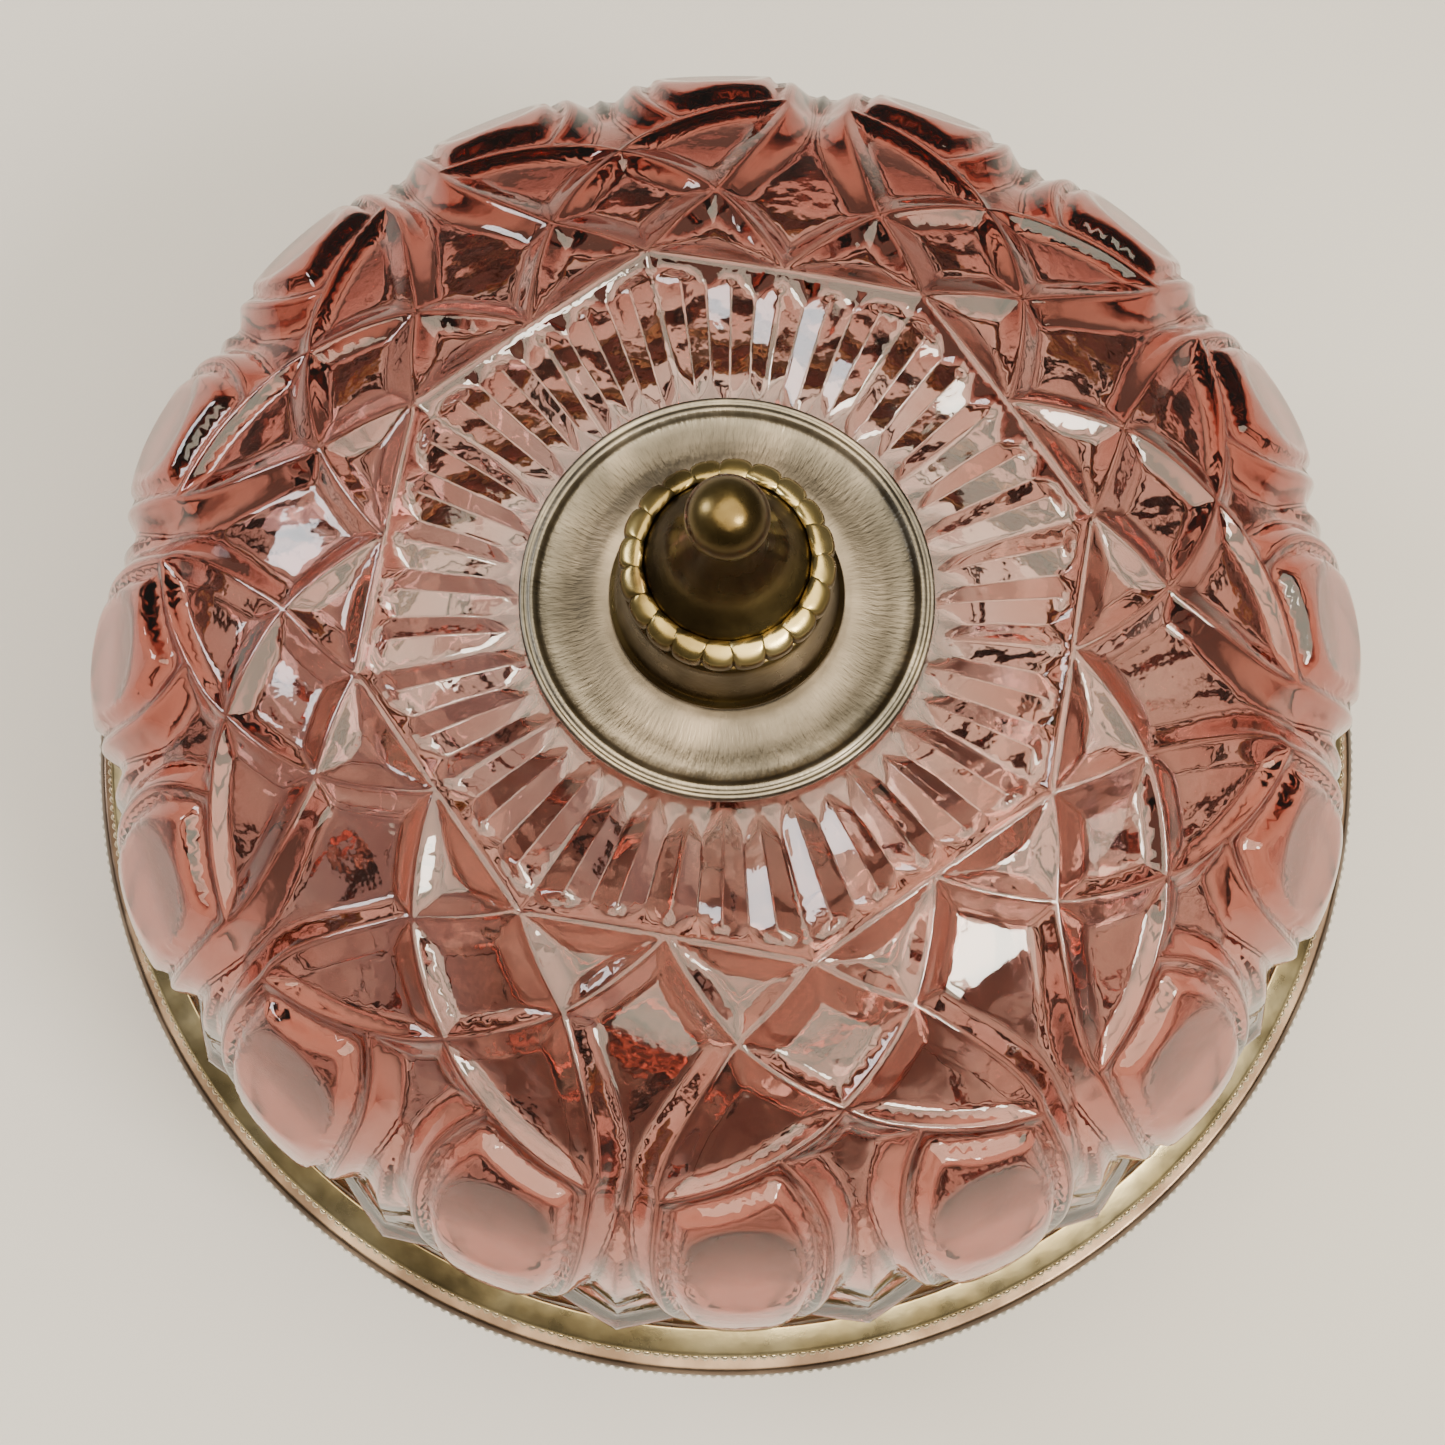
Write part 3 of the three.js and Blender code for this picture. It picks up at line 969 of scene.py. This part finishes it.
@dataclass
class Fixings:
    """Hidden fixings under the crown, and the cement of the rims, with their finishes."""

    steel: Material
    rubber: Material
    cement: Material
    nut_corner: float = 4.7

    def build(self) -> None:
        """Build the threaded stud, nut and washers, and refinish the cement."""
        self.stud()
        self.nut()
        for node in ("finial_gasket", "inner_gasket"):
            self.washer(node, self.rubber, 0.2)
        self.washer("inner_washer", self.steel, 0.15)
        for node in ("bowl_rim_cement", "lid_rim_cement"):
            refinish(node, self.cement)

    def washer(self, node: str, finish: Material, rounding: float) -> None:
        """Turn a washer with rounded edges in place of its node.

        Args:
            node: the CAD node.
            finish: its material.
            rounding: how far its corners are rounded.
        """
        (_, _, low), (high_x, _, top) = frame_mm(node)
        section = rounded([(2.75, low), (high_x, low), (high_x, top), (2.75, top)], rounding)
        piece = turned(f"{node}_turned", section, 96)
        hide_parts(node)
        dress(piece, finish, Body.LID)

    def stud(self) -> None:
        """Threaded stud with chamfered ends."""
        (_, _, low), (_, _, top) = frame_mm("finial_stud")
        section = [(0, low), (1.7, low), (2.05, low + 0.4)]
        z = low + 0.4
        while z < top - 1.4:
            section += [(2.38, z + 0.35), (2.38, z + 0.45), (2.05, z + 0.8)]
            z += 0.8
        section += [(2.05, top - 0.4), (1.7, top), (0, top)]
        piece = turned("stud_threaded", section, 48)
        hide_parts("finial_stud")
        dress(piece, self.steel, Body.LID)

    def nut(self) -> None:
        """Hexagon nut with its corners chamfered top and bottom."""
        (_, _, low), (_, _, top) = frame_mm("finial_nut")
        corner = self.nut_corner
        levels = [(2.55, low + 0.35), (3.1, low), (0.93 * corner, low), (corner, low + 0.45),
                  (corner, top - 0.45), (0.93 * corner, top), (3.1, top), (2.55, top - 0.35)]
        count = 48
        turns = [2 * math.pi * i / count for i in range(count)]
        points = []
        for r, z in levels:
            for turn in turns:
                flat = corner * math.cos(math.pi / 6) / math.cos((turn % (math.pi / 3)) - math.pi / 6)
                reach = min(r, flat)
                points.append((reach * math.cos(turn), reach * math.sin(turn), z))
        faces = hoops(len(levels), count, closed=True)
        piece = new_object("nut_hexagon", mesh_from("nut_hexagon", np.array(points), faces))
        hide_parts("finial_nut")
        dress(piece, self.steel, Body.LID)


# ---------------------------------------------------------------- finishes


class Recipe:
    """A material's node tree, with short calls to add and join nodes."""

    def __init__(self, name: str) -> None:
        """Start a material with a Principled shader.

        Args:
            name: the material's name.
        """
        self.material = bpy.data.materials.new(name)
        self.material.use_nodes = True
        self.nodes = self.material.node_tree.nodes
        self.shader = next(n for n in self.nodes if n.type == "BSDF_PRINCIPLED")
        self.output = next(n for n in self.nodes if n.type == "OUTPUT_MATERIAL")
        self.place = self.add("ShaderNodeTexCoord").outputs["Object"]

    def add(self, kind: str, *ordered: object, **named: object) -> Node:
        """Add a node.

        Args:
            kind: node type.
            ordered: values or sockets for its inputs, in order.
            named: an input's value or socket, by its name with underscores for spaces; a name in
                small letters is a setting.

        Returns:
            The node.
        """
        node = self.nodes.new(kind)
        for key, value in named.items():
            if key.islower():
                setattr(node, key, value)
            else:
                self.feed(node.inputs[key.replace("_", " ")], value)
        for socket, value in zip(node.inputs, ordered):
            self.feed(socket, value)
        return node

    def feed(self, socket: NodeSocket, value: object) -> None:
        """Link a socket, or set its value.

        Args:
            socket: the input.
            value: a value, or the output to link.
        """
        if isinstance(value, NodeSocket):
            self.material.node_tree.links.new(value, socket)
        else:
            socket.default_value = value

    def dial(self, **inputs: object) -> None:
        """Fill the shader's inputs, by name with underscores for spaces."""
        for key, value in inputs.items():
            self.feed(self.shader.inputs[key.replace("_", " ")], value)

    def noise(self, scale: float, detail: float = 3) -> NodeSocket:
        """Return noise from 0 to 1 at a scale in object space."""
        return self.add("ShaderNodeTexNoise", Vector=self.place, Scale=scale, Detail=detail).outputs["Fac"]

    def ramp(self, value: NodeSocket, stops: list[tuple]) -> NodeSocket:
        """Add a colour ramp.

        Args:
            value: where to read the ramp.
            stops: position and colour of each stop.

        Returns:
            The colour.
        """
        node = self.nodes.new("ShaderNodeValToRGB")
        self.feed(node.inputs["Fac"], value)
        while len(node.color_ramp.elements) < len(stops):
            node.color_ramp.elements.new(0.5)
        for element, (position, colour) in zip(node.color_ramp.elements, stops):
            element.position, element.color = position, (*colour, 1)
        return node.outputs["Color"]

    def spread(self, value: object, before: tuple[float, float], after: tuple[float, float]) -> object:
        """Map one range of values to another.

        Args:
            value: the socket to map.
            before: ends of its range.
            after: ends of the new range.

        Returns:
            The mapped socket.
        """
        node = self.add("ShaderNodeMapRange", Value=value, From_Min=before[0], From_Max=before[1],
                        To_Min=after[0], To_Max=after[1])
        return node.outputs["Result"]

    def bump(self, height: NodeSocket, depth: float, before: NodeSocket | None = None) -> NodeSocket:
        """Add a bump.

        Args:
            height: the socket that shapes it.
            depth: its depth in metres.
            before: an earlier bump that it lies on.

        Returns:
            The normal.
        """
        node = self.add("ShaderNodeBump", Height=height, Distance=depth, Strength=1.0)
        if before is not None:
            self.feed(node.inputs["Normal"], before)
        return node.outputs["Normal"]


@dataclass(frozen=True)
class GlassFinish:
    """Pressed rose glass: tinted in the depth, deeper where it slants, with a rippled polished skin."""

    name: str = "rose glass"
    tint: Colour = (0.80, 0.52, 0.45)
    density: float = 150.0
    flank: Colour = (0.68, 0.30, 0.28)
    coat: float = 0.1
    coat_index: float = 1.5
    roughness: float = 0.04
    matt: float = 0.24
    index: float = 1.5

    def make(self) -> Material:
        """Return the material."""
        recipe = Recipe(self.name)
        frost = recipe.add("ShaderNodeAttribute", attribute_name="frost")
        slant = recipe.add("ShaderNodeLayerWeight", Blend=0.4).outputs["Facing"]
        ripple = recipe.bump(recipe.noise(170, 2), 0.0001)
        recipe.dial(
            Transmission_Weight=1.0, IOR=self.index,
            Roughness=recipe.spread(frost.outputs["Fac"], (0, 1), (self.roughness, self.matt)),
            Base_Color=recipe.ramp(slant, [(0.15, (1, 1, 1)), (0.6, self.flank)]),
            Coat_Weight=self.coat, Coat_IOR=self.coat_index, Coat_Roughness=0.04,
            Normal=recipe.bump(recipe.noise(620, 2), 0.00002, ripple))
        depth = recipe.add("ShaderNodeVolumeAbsorption", Color=(*self.tint, 1), Density=self.density)
        recipe.feed(recipe.output.inputs["Volume"], depth.outputs["Volume"])
        return recipe.material


@dataclass(frozen=True)
class MetalFinish:
    """Old plated or bare metal, darker in patches, with fine scratches; optionally dark below a height and
    lighter above it: painted shade on the sides, and a painted highlight with rubbed wear on the tops.
    """

    name: str
    dark: Colour
    middle: Colour
    bright: Colour
    smooth: float = 0.22
    rough: float = 0.42
    patch: float = 90.0
    grain: float = 900.0
    grain_depth: float = 0.00002
    # height above which the colour is lighter: painted highlight with rubbed wear on top, painted shade below
    rubbed_and_highlit_above: float = 0.0

    def make(self) -> Material:
        """Return the material."""
        recipe = Recipe(self.name)
        colour = recipe.ramp(recipe.noise(self.patch, 5),
                             [(0.3, self.dark), (0.5, self.middle), (0.68, self.bright)])
        # Painted highlight and painted shade: the patchy colour above the height, the dark colour below it;
        # the lighter top also stands for rubbed wear.
        if self.rubbed_and_highlit_above:
            height = recipe.add("ShaderNodeSeparateXYZ", Vector=recipe.place).outputs["Z"]
            rubbed_and_highlit = recipe.spread(height, (self.rubbed_and_highlit_above - 0.0003, self.rubbed_and_highlit_above + 0.0002), (0, 1))
            colour = recipe.add("ShaderNodeMixRGB", rubbed_and_highlit, (*self.dark, 1), colour).outputs["Color"]
        recipe.dial(
            Metallic=1.0, Base_Color=colour,
            Roughness=recipe.spread(recipe.noise(3 * self.patch, 4), MIDDLE, (self.smooth, self.rough)),
            Normal=recipe.bump(recipe.noise(self.grain, 3), self.grain_depth))
        return recipe.material


@dataclass(frozen=True)
class HammeredFinish:
    """Worn silver plate with a radial hammered grain and brass showing through."""

    name: str = "worn plate"
    strokes: float = 46.0
    stroke_length: float = 14.0
    depth: float = 0.00016

    def make(self) -> Material:
        """Return the material."""
        recipe = Recipe(self.name)
        parts = recipe.add("ShaderNodeSeparateXYZ", recipe.place).outputs
        turn = recipe.add("ShaderNodeMath", parts["Y"], parts["X"], operation="ARCTAN2").outputs["Value"]
        flat = recipe.add("ShaderNodeVectorMath", recipe.place, (1, 1, 0), operation="MULTIPLY")
        away = recipe.add("ShaderNodeVectorMath", flat.outputs["Vector"], operation="LENGTH").outputs["Value"]
        reach = recipe.add("ShaderNodeMath", away, self.stroke_length, operation="MULTIPLY").outputs["Value"]
        polar = recipe.add("ShaderNodeCombineXYZ", X=turn, Y=reach).outputs["Vector"]
        strokes = recipe.add("ShaderNodeTexNoise", Vector=polar, Scale=self.strokes, Detail=3.0)
        hammered = recipe.ramp(away, [(0.0125, (0.1, 0.1, 0.1)), (0.0145, (0.6, 0.6, 0.6)),
                                      (0.0165, (1, 1, 1)), (0.0180, (0.35, 0.35, 0.35))])
        dents = recipe.add("ShaderNodeMath", strokes.outputs["Fac"], hammered, operation="MULTIPLY")
        colour = recipe.ramp(recipe.noise(110, 5), [
            (0.3, (0.11, 0.10, 0.085)), (0.5, (0.20, 0.178, 0.15)), (0.68, (0.35, 0.30, 0.245))])
        tarnish = recipe.ramp(away, [(0.0118, (1, 0.94, 0.86)), (0.0140, (0.70, 0.65, 0.58)),
                                     (0.0165, (0.34, 0.34, 0.33)), (0.0184, (0.9, 0.9, 0.85))])
        worn_colour = recipe.add("ShaderNodeMixRGB", 1.0, colour, tarnish, blend_type="MULTIPLY")
        worn = recipe.bump(recipe.noise(700, 4), 0.00003)
        recipe.dial(
            Metallic=1.0, Base_Color=worn_colour.outputs["Color"],
            Roughness=recipe.spread(recipe.noise(300, 4), MIDDLE, (0.3, 0.48)),
            Normal=recipe.bump(dents.outputs["Value"], self.depth, worn))
        return recipe.material


@dataclass(frozen=True)
class DullFinish:
    """Rubber or cement: matt and mottled."""

    name: str
    dark: Colour
    pale: Colour
    roughness: float = 0.85

    def make(self) -> Material:
        """Return the material."""
        recipe = Recipe(self.name)
        speckle = recipe.noise(400, 5)
        recipe.dial(Base_Color=recipe.ramp(speckle, [(0.35, self.dark), (0.65, self.pale)]),
                    Roughness=self.roughness, Normal=recipe.bump(speckle, 0.00005))
        return recipe.material


# ---------------------------------------------------------------- studio


@dataclass
class Studio:
    """Pale floor, soft lights and the camera that looks down on the lid."""

    floor_half: float = 0.9
    distance: float = 0.2647
    elevation: float = 77.64
    azimuth: float = -13.02
    roll: float = 0.31
    aim_height: float = 0.0693
    lens: float = 54.18
    shift: tuple[float, float] = (-0.0026, -0.0030)

    def floor(self) -> None:
        """Lay the floor under the dish."""
        half = self.floor_half
        mesh = bpy.data.meshes.new("floor")
        corners = [(-half, -half, 0), (half, -half, 0), (half, half, 0), (-half, half, 0)]
        mesh.from_pydata(corners, [], [(0, 1, 2, 3)])
        floor = new_object("floor", mesh)
        recipe = Recipe("pale floor")
        recipe.dial(Base_Color=(0.58, 0.565, 0.55, 1), Roughness=0.7)
        mesh.materials.append(recipe.material)

    def lights(self) -> None:
        """Hang three soft boxes and set the surrounding light."""
        for name, spot, size, power, colour in (
            ("overhead", (0.05, -0.08, 0.62), 0.7, 9.5, (1.0, 0.89, 0.68)),
            ("key", (0.30, -0.36, 0.70), 0.18, 5.0, (1.0, 0.94, 0.80)),
            ("window", (-0.60, 0.35, 0.55), 0.25, 3.5, (0.96, 0.97, 1.0)),
        ):
            data = bpy.data.lights.new(name, "AREA")
            data.size, data.energy, data.color = size, power, colour
            lamp = bpy.data.objects.new(name, data)
            bpy.context.scene.collection.objects.link(lamp)
            lamp.location = spot
            lamp.rotation_euler = (-Vector(spot)).to_track_quat("-Z", "Y").to_euler()
        world = bpy.data.worlds.new("studio")
        world.use_nodes = True
        back = next(n for n in world.node_tree.nodes if n.type == "BACKGROUND")
        back.inputs["Color"].default_value = (1, 0.92, 0.79, 1)
        back.inputs["Strength"].default_value = 0.24
        bpy.context.scene.world = world

    def camera(self) -> None:
        """Set the camera above the front edge of the dish."""
        data = bpy.data.cameras.new("camera")
        data.sensor_width, data.lens = 36.0, self.lens
        data.shift_x, data.shift_y = self.shift
        data.clip_start, data.clip_end = 0.01, 10.0
        a, e = math.radians(self.azimuth), math.radians(self.elevation)
        back = Vector((math.sin(a) * math.cos(e), -math.cos(a) * math.cos(e), math.sin(e)))
        camera = bpy.data.objects.new("camera", data)
        bpy.context.scene.collection.objects.link(camera)
        aim = (-back).to_track_quat("-Z", "Y").to_matrix().to_4x4()
        spot = Vector((0, 0, self.aim_height)) + back * self.distance
        roll = Matrix.Rotation(math.radians(self.roll), 4, "Z")
        camera.matrix_world = Matrix.Translation(spot) @ aim @ roll
        bpy.context.scene.camera = camera

    def build(self) -> None:
        """Build floor, lights and camera."""
        self.floor()
        self.lights()
        self.camera()


@dataclass
class CandyDish:
    """The whole dish, built from the foot up."""

    milled_edge: float = 69.3
    bowl_top: float = 66.0

    def lid_glass(self, glass: Material) -> None:
        """Build the lid's glass.

        Args:
            glass: its finish.
        """
        edge, land = self.milled_edge, self.milled_edge + Pattern.land_height
        hollow = Dome(65.2, 49.6, 2.9, 2.9, edge, 1)
        degrees = np.array([85, 79, 73, 67, 61, 55, 49, 43, 37, 31, 25, 20, 15, 10.5])
        closing = [(71.2, edge + 2.2), (71.2, edge - 1.5), (70.9, edge - 1.8), (66.9, edge - 1.8),
                   (66.6, edge - 1.5), (65.6, edge + 2)]
        closing += [(r, edge + z) for r, z in zip(*hollow.section(degrees))]
        closing += [(14, land - 5.4), (3.4, land - 5.4), (3.2, land - 5.2), (3.2, land - 0.2), (3.4, land)]
        piece = PressedGlass("lid_glass_pressed", "lid_glass", Dome(70.3, 58.8, 3.1, 3.2, edge, 1),
                             20.8, 89.2, closing)
        dress(piece.build(), glass, Body.LID)

    def bowl_glass(self, glass: Material) -> None:
        """Build the bowl's glass.

        Args:
            glass: its finish.
        """
        top, spring = self.bowl_top, self.bowl_top - 4.8
        hollow = Dome(71.4, 51.2, 2.9, 2.9, spring, -1)
        degrees = np.array([86, 80, 74, 68, 62, 56, 50, 44, 38, 32, 26, 20, 14, 9, 5, 2])
        closing = [(75.2, spring - 0.6), (75, spring), (75, top - 1.4), (74.7, top - 1.1),
                   (73.6, top - 1.1), (73.3, top - 1.4), (73.3, top - 6.4), (72.6, top - 7.4)]
        closing += [(r, spring - z) for r, z in zip(*hollow.section(degrees))]
        closing += [(0.05, 10.0), (0.05, 3.4), (10, 3.4), (22, 3.4), (30, 3.4), (32.4, 3.1), (33.6, 1.5),
                    (34.3, 0.4), (34.9, 0), (37.6, 0), (38.6, 0.3), (39.4, 1.0), (40, 3.0), (40.2, 5.0)]
        piece = PressedGlass("bowl_glass_pressed", "bowl_glass",
                             Dome(76.4, 57.2, 3.1, 3.2, spring, -1), 40.6, 89.2, closing,
                             Pattern(fullness=-0.5))
        dress(piece.build(), glass, Body.BOWL)

    def rims(self, band: Material, flange: Material, lid_edge: Material,
             bowl_edge: Material) -> None:
        """Build both metal rims.

        Args:
            band: finish of the bowl's band.
            flange: finish of the lid's flange.
            lid_edge: finish of the lid's milled edge.
            bowl_edge: finish of the bowl's milled edge.
        """
        top, rest, edge = self.bowl_top, self.bowl_top + 0.3, self.milled_edge
        RimBand("bowl_rim", Body.BOWL, [
            (77.2, top - 4.5), (77.2, top - 0.9), (76.5, top), (72.2, top), (72.2, top - 6.5),
            (73.0, top - 6.5), (73.0, top - 0.8), (76.4, top - 0.8), (76.4, top - 4.5)],
            430, 77.15, top - 2.6, 0.4, 3.0,
        ).build(band, bowl_edge)
        RimBand("lid_rim", Body.LID, [
            (75, rest), (75, edge - 0.5), (74.6, edge + 0.1), (71.6, edge + 1.4), (71.6, edge + 0.6),
            (74.0, edge - 0.5), (74.0, edge - 2.1), (66.5, edge - 2.1), (66.5, rest), (70.6, rest),
            (70.6, rest - 4), (71.5, rest - 4), (71.5, rest)], 420, 74.9, rest + 1.5, 0.42, 2.6,
        ).build(flange, lid_edge)

    def build(self) -> None:
        """Build every piece with its finish."""
        glass = GlassFinish().make()
        band, flange, gilt, silver, brass, bead, steel = (finish.make() for finish in (
            MetalFinish("dark plated sheet", (0.06, 0.04, 0.03), (0.12, 0.08, 0.055), (0.24, 0.17, 0.12)),
            MetalFinish("gilt sheet", (0.16, 0.12, 0.06), (0.34, 0.27, 0.14), (0.50, 0.42, 0.25)),
            MetalFinish("milled gilt edge", (0.30, 0.22, 0.13), (0.52, 0.42, 0.28), (0.72, 0.62, 0.46)),
            MetalFinish("milled silver edge", (0.35, 0.33, 0.30), (0.60, 0.57, 0.52), (0.82, 0.79, 0.73)),
            MetalFinish("old brass", (0.035, 0.022, 0.010), (0.085, 0.058, 0.022), (0.19, 0.14, 0.055),
                        0.2, 0.38, grain=1500.0),
            # bead tops above 136.3 mm are painted lighter and their sides darker: painted highlight and
            # painted shade, with rubbed wear on top
            MetalFinish("rubbed brass with painted highlight", (0.08, 0.05, 0.018), (0.34, 0.26, 0.10), (0.50, 0.40, 0.19),
                        0.2, 0.36, rubbed_and_highlit_above=0.1363),
            MetalFinish("steel", (0.24, 0.24, 0.24), (0.4, 0.4, 0.4), (0.55, 0.55, 0.54), 0.3, 0.5),
        ))
        rubber = DullFinish("soft washer", (0.03, 0.027, 0.025), (0.07, 0.06, 0.055)).make()
        cement = DullFinish("cement", (0.42, 0.37, 0.30), (0.60, 0.55, 0.47)).make()
        self.bowl_glass(glass)
        self.lid_glass(glass)
        self.rims(band, flange, gilt, silver)
        finial = Finial(HammeredFinish().make(), brass, bead)
        finial.plate()
        finial.drum()
        finial.bead_ring()
        finial.knob()
        Fixings(steel, rubber, cement).build()


def main() -> None:
    """Build the dish and its studio."""
    logging.basicConfig(level=logging.INFO, format="%(message)s")
    Studio().build()
    CandyDish().build()


if __name__ == "__main__":
    main()
